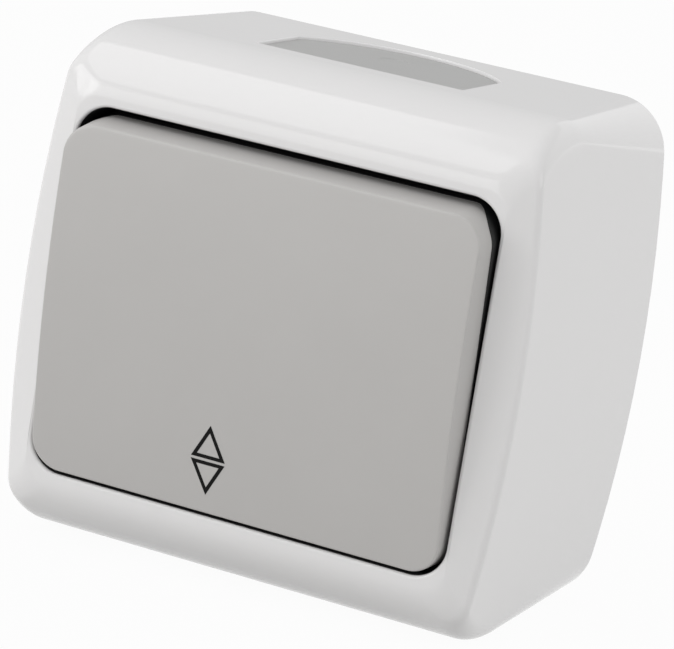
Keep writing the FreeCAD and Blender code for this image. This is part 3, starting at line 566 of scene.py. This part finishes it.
def rocker_grid():
    """Rings of the face, the rounded edge, the skirt and the roof, as x, height and z.

    The face follows the crown, and the edge falls from it by a quarter circle. The skirt flares evenly
    down to its bend and is straight below. The roof follows the crown, behind it by the skin.
    """
    turn = np.linspace(0, np.pi / 2, ROCKER_EDGE_POINTS)
    x, z = rocker_rings(ROCKER_EDGE, FACE_RINGS)
    parts = [(x, crown(z), z)]
    x, z = rocker_rings(ROCKER_EDGE * (1 - np.sin(turn)))
    parts.append((x, crown(z) - ROCKER_EDGE * (1 - np.cos(turn))[:, None], z))
    x, z = rocker_rings(-SKIRT_FLARE * np.array([FLARE_START, 1, 1]))
    below_edge = crown(z[0]) - ROCKER_EDGE - SUPPORT
    bend, end = (np.full_like(below_edge, height) for height in (SKIRT_BEND, SKIRT_END))
    parts.append((x, np.stack([below_edge, bend, end]), z))
    x, z = rocker_rings(ROCKER_SKIN, np.ones(2))
    parts.append((x, np.stack([end, crown(z[1]) - ROCKER_SKIN]), z))
    x, z = rocker_rings(ROCKER_SKIN, ROOF_RINGS)
    parts.append((x, crown(z) - ROCKER_SKIN, z))
    return np.vstack([np.stack(part, axis=-1) for part in parts])


# %% Ribs and clips under the roof
RIB_X, RIB_WIDTH, RIB_HALF_HEIGHT = 7.0, 1.4, 19.0
PLATE_BACK, PLATE_FRONT, PLATE_HALF = 2.6, 4.6, 6.0
CLIP_HALF_WIDTH, CLIP_THICKNESS, CLIP_GAP, CLIP_HOOK = 3.0, 1.4, 0.1, 0.6
ROOF_OVERLAP = ROCKER_SKIN / 4
SLAB_QUADS = np.array([[0, 4, 5, 1], [3, 7, 6, 2], [0, 2, 6, 4],
                       [4, 6, 7, 5], [5, 7, 3, 1], [1, 3, 2, 0]])


def slab(x, height, z):
    """A closed box between two values each of x, height and z, at the resting tilt."""
    corners = np.stack(np.meshgrid(x, height, z, indexing="ij"), axis=-1)
    points = tilted(corners).reshape(-1, 3)
    return points, turn_outward(points, [SLAB_QUADS])


def rocker_underside():
    """Two ribs that seat on the toggle's plate, and two clips that hook behind it."""
    into_roof = ROCKER_FACE - ROCKER_SKIN + ROOF_OVERLAP
    near = PLATE_HALF + CLIP_GAP
    hook_front = PLATE_BACK - CLIP_GAP
    hook_back = hook_front - CLIP_HOOK
    clip_x = (-CLIP_HALF_WIDTH, CLIP_HALF_WIDTH)
    slabs = []
    for side in (-1, 1):
        rib_x = side * RIB_X + np.array([-RIB_WIDTH, RIB_WIDTH]) / 2
        leg_z = np.sort(side * np.array([near, near + CLIP_THICKNESS]))
        hook_z = np.sort(side * np.array([near - CLIP_HOOK, near + CLIP_THICKNESS / 2]))
        slabs.append(slab(rib_x, (PLATE_FRONT, into_roof), (-RIB_HALF_HEIGHT, RIB_HALF_HEIGHT)))
        slabs.append(slab(clip_x, (hook_back, into_roof), leg_z))
        slabs.append(slab(clip_x, (hook_back, hook_front), hook_z))
    return slabs


rocker_shells = [closed_stack(tilted(rocker_grid())), *rocker_underside()]
rocker = make_object("crowned_rocker", *joined(rocker_shells))
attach(rocker, "rocker")
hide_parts("rocker")

# %% [markdown]
# ## Painted shade on the rocker's skirt
# Below the rim the rocker's skirt lies in deep shade, so it is black all round: a band on the lower part
# of the skirt paints that shade. It reaches higher at the sides, which hardly move when the rocker tilts.
# It could be a dark stripe in the rocker's finish, but it is another material, so it is a thin closed
# ring of its own on the skirt. Round each corner its upper edge climbs by a smooth step: three times the
# square of the share of the way, less twice its cube.

# %% A thin ring on the lower skirt
BAND_PROUD, BAND_SET_IN = 0.04, 0.1
BAND_TOP, BAND_SIDE_TOP = 2.1, 5.7

band_insets = -SKIRT_FLARE + np.array([-BAND_PROUD, -BAND_PROUD, BAND_SET_IN, BAND_SET_IN])
band_x, band_z = rocker_rings(band_insets)
climb = np.clip((np.abs(band_x[0]) - ROCKER_HALF[0]) / ROCKER_CORNER + 1, 0, 1)
band_top = BAND_TOP + (BAND_SIDE_TOP - BAND_TOP) * (3 * climb ** 2 - 2 * climb ** 3)
band_end = np.full_like(band_top, SKIRT_END - BAND_PROUD)
band_heights = np.stack([band_end, band_top, band_top, band_end])
band_grid = tilted(np.stack([band_x, band_heights, band_z], axis=-1))
# The black band paints the shade in the gap round the skirt.
band = make_object("painted_skirt_shade", *closed_ring(band_grid))
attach(band, "rocker")

# %% [markdown]
# ## The plunger's spring
# Inside the toggle a small coil spring pushes the plunger out. When the plunger is pressed in, the coil
# has to get shorter, which a rigid solid can't do. A wire carried along a helix stands in for it here.

# %% A wire carried along a helix
SPRING_SEAT, PLUNGER_TOP, PLUNGER_TRAVEL = 3.0, 9.0, 0.8
SPRING_RADIUS, SPRING_WIRE, SPRING_TURNS = 1.45, 0.28, 5
SPRING_END_GAP = 0.05
STEPS_A_TURN, WIRE_POINTS = 32, 12


def coil_rows():
    """Round sections of the wire along the helix.

    The reach from the coil's axis is its radius plus the wire's radius times the cosine of the turn round
    the wire. The height falls evenly with the turn of the helix, plus the wire's radius times the sine.
    """
    turn = np.linspace(0, 2 * np.pi * SPRING_TURNS, STEPS_A_TURN * SPRING_TURNS + 1)[:, None]
    around = np.linspace(0, 2 * np.pi, WIRE_POINTS, endpoint=False)[None, :]
    first = -SPRING_SEAT - SPRING_WIRE - SPRING_END_GAP
    last = -PLUNGER_TOP + SPRING_WIRE + SPRING_END_GAP
    reach = SPRING_RADIUS + SPRING_WIRE * np.cos(around)
    height = first + (last - first) * turn / turn[-1] + SPRING_WIRE * np.sin(around)
    return tilted(np.stack([reach * np.cos(turn), height, reach * np.sin(turn)], axis=-1))


spring = make_object("plunger_coil", *closed_stack(coil_rows()))
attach(spring, "rocker")
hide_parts("plunger_spring")
spring_seat, plunger_top = tilted(np.array([[0, -SPRING_SEAT, 0], [0, -PLUNGER_TOP, 0]])) * MM
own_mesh(spring)

# %% [markdown]
# ## The printed sign
# Two outlined triangles, tip up and tip down, are the common sign of a switch that works from two
# places. It is pad-printed, a film of ink a few hundredths of a millimetre thick. A picture would be the
# usual way to print it; here it is a thin ring of real thickness laid on the crown, so it stays sharp at
# any zoom.

# %% Two outlined triangles
SIGN_X, SIGN_SPLIT = -3.3, -15.0
SIGN_BASE, SIGN_HEIGHT, SIGN_GAP = 4.6, 4.32, 0.35
SIGN_STROKE, INK = 0.46, 0.025
INK_SMOOTH_ANGLE = 10


def triangle_grid(direction):
    """Outer and inner outline of a triangle, each at the face and above it, tip up (1) or down (-1).

    The inner triangle has the same centre and angles. It is the outer one shrunk by one minus the
    stroke divided by the radius of the circle that fits inside it.
    """
    base_z = SIGN_SPLIT + direction * SIGN_GAP / 2
    tip_z = base_z + direction * SIGN_HEIGHT
    outer = np.array([[-SIGN_BASE / 2, base_z], [SIGN_BASE / 2, base_z], [0, tip_z]])
    sides = np.linalg.norm(outer - np.roll(outer, -1, axis=0), axis=1)
    weights = np.roll(sides, -1) / sides.sum()
    centre = weights @ outer
    fitted = SIGN_BASE * SIGN_HEIGHT / sides.sum()
    inner = centre + (outer - centre) * (1 - SIGN_STROKE / fitted)
    x, z = np.moveaxis(np.array([outer, outer, inner, inner]), -1, 0)
    lift = np.array([[0], [INK], [INK], [0]])
    return np.stack([SIGN_X + x, crown(z) + lift, z], axis=-1)


triangles = [closed_ring(tilted(triangle_grid(direction))) for direction in (1, -1)]
sign = make_object("printed_sign", *joined(triangles), smooth_angle=INK_SMOOTH_ANGLE)
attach(sign, "rocker")

# %% [markdown]
# ## Finishes
# Every material starts from the real one. Colours are written as the hex values that a paint shop would
# use and turned to linear light by one function. A pattern's size is given in millimetres, and because
# object coordinates are metres, its scale is one over that size.

# %% Colours and nodes
def linear(hex_colour):
    """Linear light of an sRGB hex colour: below the knee divide, above it raise to the power 2.4."""
    coded = np.array([int(hex_colour[i:i + 2], 16) for i in (1, 3, 5)]) / 255
    light = np.where(coded <= 0.04045, coded / 12.92, ((coded + 0.055) / 1.055) ** 2.4)
    return (*light.tolist(), 1.0)


def per_metre(size_mm):
    """Pattern scale for a feature of this size."""
    return 1 / (size_mm * MM)


def add_node(tree, kind, settings=None, numbered=None, **named):
    """A node with its settings, whose sockets get plain values or links from other nodes' sockets.

    Sockets are given by name, or by number where a node has several of one name.
    """
    made = tree.nodes.new(kind)
    for name, value in (settings or {}).items():
        setattr(made, name, value)
    sockets = {name.replace("_", " "): value for name, value in named.items()}
    for key, value in {**sockets, **(numbered or {})}.items():
        if isinstance(value, bpy.types.NodeSocket):
            tree.links.new(value, made.inputs[key])
        else:
            made.inputs[key].default_value = value
    return made


def start_material(name):
    """An empty node material and its tree."""
    material = bpy.data.materials.new(name)
    material.use_nodes = True
    material.node_tree.nodes.clear()
    return material, material.node_tree


# %% What mouldings and metals have in common
# The sockets of a mix node that are for colours.
MIX_SHARE, MIX_FIRST, MIX_SECOND, MIX_RESULT = 0, 6, 7, 2


def shade_and_gloss(tree, shade_pattern, gloss_pattern, colours, roughness):
    """Sockets for a colour between two shades and a roughness between two values, each by a pattern."""
    first, second = (linear(colour) for colour in colours)
    shades = {MIX_SHARE: shade_pattern.outputs[0], MIX_FIRST: first, MIX_SECOND: second}
    shade = add_node(tree, "ShaderNodeMix", {"data_type": "RGBA"}, shades)
    gloss = add_node(tree, "ShaderNodeMapRange", Value=gloss_pattern.outputs[0],
                     To_Min=roughness[0], To_Max=roughness[1])
    return shade.outputs[MIX_RESULT], gloss.outputs[0]


# %% The family of mouldings
FLOW_MM = 12.0


def moulding(name, colours, roughness, grain_mm, relief_mm, ior=1.53):
    """A moulded polymer: two close shades that drift with the flow of the melt, and the tool's grain."""
    material, tree = start_material(name)
    place = add_node(tree, "ShaderNodeTexCoord").outputs["Object"]
    flow = add_node(tree, "ShaderNodeTexNoise", Vector=place, Scale=per_metre(FLOW_MM), Detail=3.0)
    grain = add_node(tree, "ShaderNodeTexNoise", Vector=place, Scale=per_metre(grain_mm), Detail=2.0)
    shade, gloss = shade_and_gloss(tree, flow, grain, colours, roughness)
    relief = add_node(tree, "ShaderNodeBump", Height=grain.outputs[0], Strength=1.0,
                      Distance=relief_mm * MM)
    shader = add_node(tree, "ShaderNodeBsdfPrincipled", Base_Color=shade, Roughness=gloss, IOR=ior,
                      Normal=relief.outputs[0])
    add_node(tree, "ShaderNodeOutputMaterial", Surface=shader.outputs[0])
    return material


# %% The family of metals
STREAK_STRETCH = (1.0, 1.0, 8.0)


def metal(name, colours, roughness, streak_mm):
    """A stamped or turned metal: a patchy tarnish between two shades, and fine streaks in its gloss."""
    material, tree = start_material(name)
    place = add_node(tree, "ShaderNodeTexCoord").outputs["Object"]
    stretch = add_node(tree, "ShaderNodeMapping", Vector=place, Scale=STREAK_STRETCH)
    streak = add_node(tree, "ShaderNodeTexNoise", Vector=stretch.outputs[0], Scale=per_metre(streak_mm),
                      Detail=4.0)
    shade, gloss = shade_and_gloss(tree, streak, streak, colours, roughness)
    shader = add_node(tree, "ShaderNodeBsdfPrincipled", Base_Color=shade, Roughness=gloss, Metallic=1.0)
    add_node(tree, "ShaderNodeOutputMaterial", Surface=shader.outputs[0])
    return material


# %% [markdown]
# The cover is gloss-moulded ABS: nearly mirror smooth, so lamps draw clear bands along its roundings.
# The rocker is the same polymer from a spark-eroded tool, which leaves a fine even grain and a satin
# sheen. The real grain is too fine to show from here, so it is drawn a little coarser. Seals are
# elastomers, soft and dull, and the ink is a thin matt film. Inside are polyamide mouldings, brass
# strips, silver contacts and zinc-plated screws: the strips gleam warm, and the screws a cooler grey.

# %% Mouldings: two shades, roughness from and to, size and height of the grain in millimetres
gloss_abs = moulding("gloss_moulded_ABS_white", ("#E9E8E8", "#EBEAEA"), (0.07, 0.12), 0.9, 0.001,
                     ior=1.48)
base_abs = moulding("moulded_ABS_white_base", ("#DEDEDA", "#E2E2DF"), (0.38, 0.5), 0.35, 0.008)
satin_abs = moulding("spark_eroded_ABS_grey", ("#BEBCBA", "#C2C0BE"), (0.3, 0.42), 0.16, 0.005)
seal_tpe = moulding("moulded_TPE_grey", ("#B4B4B3", "#BABAB9"), (0.5, 0.65), 0.25, 0.008, ior=1.48)
# A dull black that paints the shade in the tub and round the rocker's skirt.
shade_black = moulding("painted_shade_black", ("#1F1F1F", "#252525"), (0.55, 0.7), 0.25, 0.008, ior=1.48)
black_epdm = moulding("EPDM_rubber_black", ("#161615", "#1B1B1A"), (0.6, 0.75), 0.3, 0.01, ior=1.5)
ivory_pa = moulding("polyamide_ivory", ("#D8D2C0", "#DDD8C8"), (0.4, 0.52), 0.3, 0.006)
black_pa = moulding("glass_filled_polyamide_black", ("#1C1C1D", "#222223"), (0.42, 0.55), 0.25, 0.008)
ink_black = moulding("pad_printing_ink_black", ("#070706", "#0B0B0A"), (0.6, 0.7), 0.1, 0.001, ior=1.25)

# %% Metals: two shades, roughness from and to, width of the streaks in millimetres
brass = metal("stamped_brass", ("#B8923F", "#C9A455"), (0.22, 0.38), 1.5)
silver = metal("contact_silver", ("#C9C7C2", "#D8D6D1"), (0.18, 0.3), 0.8)
zinc = metal("zinc_plated_steel", ("#B9BCC0", "#C9CCD0"), (0.2, 0.36), 0.7)

# %% Every piece gets its finish
finishes = {
    "housing_white": gloss_abs, "base_white": base_abs, "rocker_grey": satin_abs, "seal_grey": seal_tpe,
    "gasket_black": black_epdm, "mechanism_ivory": ivory_pa, "toggle_black": black_pa, "brass": brass,
    "contact_silver": silver, "zinc_steel": zinc,
}
slot_of_node = {row["node"]: row["material_slot"] for row in frame["record"]["subparts"]}
solids = [(solid, finishes[slot_of_node[node]]) for node, solid in frame["nodes"].items()]
new_pieces = [(cover, gloss_abs), (seal, seal_tpe), (shade_lining, shade_black), (rocker, satin_abs),
              (band, shade_black), (spring, zinc), (sign, ink_black)]
for piece, finish in solids + new_pieces:
    piece.data.materials.clear()
    piece.data.materials.append(finish)
print(f"finishes on {len(solids)} solids and {len(new_pieces)} new pieces")

# %% [markdown]
# ## The studio
# The switch stands on a plain floor in an even pale world. Soft boxes light it: a key at the front left,
# a long strip overhead whose reflection runs along the top rounding, a low one in front that draws a
# second, fainter band, one at the right for the side, and one behind that the upper right corner
# mirrors. The floor looks white to the camera and in reflections, which leaves the light on the object
# as it is, and it still takes the object's shadow.

# %% The floor
FLOOR_HALF_M, FLOOR_BELOW = 25.0, 0.02
FLOOR_GLOW = 0.96


def seen_or_mirrored(tree):
    """One for a ray from the camera, from a reflection or through a clear piece, and zero for others.

    It is the largest of the three shares, so the light that falls on the object is left as it is.
    """
    path = add_node(tree, "ShaderNodeLightPath")
    largest = path.outputs["Is Camera Ray"]
    for kind in ("Is Glossy Ray", "Is Transmission Ray"):
        larger = add_node(tree, "ShaderNodeMath", {"operation": "MAXIMUM"},
                          {0: largest, 1: path.outputs[kind]})
        largest = larger.outputs[0]
    return largest


floor_level = cover_low[2] - FLOOR_BELOW
floor_corners = np.array([[-1, -1, 0], [1, -1, 0], [1, 1, 0], [-1, 1, 0]]) * FLOOR_HALF_M / MM
floor = make_object("studio_floor", floor_corners + [0, 0, floor_level], [np.array([[0, 1, 2, 3]])])
floor_finish, tree = start_material("matt_white_floor")
paint = add_node(tree, "ShaderNodeBsdfDiffuse", Color=linear("#C8C8C7"))
glow = add_node(tree, "ShaderNodeEmission", Color=linear("#FFFFFF"), Strength=1.0)
share = add_node(tree, "ShaderNodeMapRange", Value=seen_or_mirrored(tree), To_Max=FLOOR_GLOW)
mix = add_node(tree, "ShaderNodeMixShader", None,
               {0: share.outputs[0], 1: paint.outputs[0], 2: glow.outputs[0]})
add_node(tree, "ShaderNodeOutputMaterial", Surface=mix.outputs[0])
floor.data.materials.append(floor_finish)

# %% The world
AMBIENT = 0.61

world = bpy.data.worlds.new("pale_studio")
bpy.context.scene.world = world
world.use_nodes = True
world.node_tree.nodes.clear()
backdrop = add_node(world.node_tree, "ShaderNodeBackground", Color=linear("#FFFFFF"), Strength=AMBIENT)
add_node(world.node_tree, "ShaderNodeOutputWorld", Surface=backdrop.outputs[0])
print(f"floor at {floor_level:.2f} mm, ambient {AMBIENT}")

# %% Soft boxes: angles in degrees, distance and size in millimetres, radiance
lamp_target = np.array([0, -cover_depth / 2, 0])


def set_up(holder, right, back, place_mm):
    """Put a lamp or camera in the scene: its axes are right, back times right, and back."""
    bpy.context.scene.collection.objects.link(holder)
    pose = np.eye(4)
    pose[:3] = np.stack([right, np.cross(back, right), back, np.array(place_mm) * MM], axis=-1)
    holder.matrix_world = Matrix(pose.tolist())


def soft_box(name, azimuth, elevation, distance_mm, size_mm, radiance, along=(0, 0, 1)):
    """An area lamp that faces the switch from an angle.

    Its power is its radiance times pi times its area. The azimuth is counted from the front towards the
    right. The lamp's second side runs along the given direction, as far as a lamp that faces the switch
    can.
    """
    lamp = bpy.data.lights.new(name, "AREA")
    lamp.shape = "RECTANGLE"
    lamp.size, lamp.size_y = size_mm[0] * MM, size_mm[1] * MM
    lamp.energy = radiance * math.pi * lamp.size * lamp.size_y
    turn, rise = math.radians(azimuth), math.radians(elevation)
    back = np.array([math.sin(turn) * math.cos(rise), -math.cos(turn) * math.cos(rise), math.sin(rise)])
    holder = bpy.data.objects.new(name, lamp)
    set_up(holder, unit(np.cross(along, back)), back, back * distance_mm + lamp_target)
    print(f"{name}: {lamp.energy:.2f} W")


soft_box("key_soft_box", -48, 15, 900, (500, 400), 2.6)
soft_box("overhead_strip", -60, 57.6, 830, (280, 1050), 1.3, along=(0, 1, 0))
soft_box("low_soft_box", -27, 9, 900, (500, 400), 1.5)
soft_box("right_soft_box", 85, 20, 850, (500, 500), 1.55)
soft_box("back_soft_box", 158, 20, 900, (1000, 680), 0.42)

# %% [markdown]
# ## The camera
# The photograph was taken with a long lens from a little above and to the right, with the camera rolled.
# The lens is written as a focal length in picture widths, and the camera's axes are worked out from its
# three angles.

# %% Camera
PICTURE_WIDTH_PX, FOCAL_PX = 674, 3933.37
SENSOR_MM = 36.0
AZIMUTH, ELEVATION, ROLL = (math.radians(angle) for angle in (23.339, 12.365, 9.315))
CAMERA_PLACE_MM = (189.321, -456.401, 103.542)
NEAREST_M, FARTHEST_M = 0.01, 60.0

level_right = np.array([math.cos(AZIMUTH), math.sin(AZIMUTH), 0])
back = np.array([math.sin(AZIMUTH) * math.cos(ELEVATION), -math.cos(AZIMUTH) * math.cos(ELEVATION),
                 math.sin(ELEVATION)])
level_up = np.cross(back, level_right)
lens = bpy.data.cameras.new("portrait_camera")
lens.sensor_width = SENSOR_MM
lens.lens = FOCAL_PX / PICTURE_WIDTH_PX * SENSOR_MM
lens.clip_start, lens.clip_end = NEAREST_M, FARTHEST_M
camera = bpy.data.objects.new("portrait_camera", lens)
set_up(camera, math.cos(ROLL) * level_right + math.sin(ROLL) * level_up, back, CAMERA_PLACE_MM)
bpy.context.scene.camera = camera
bpy.context.scene.view_settings.view_transform = "Standard"
print(f"lens {lens.lens:.1f} mm")

# %% Finish
print("scene set up")
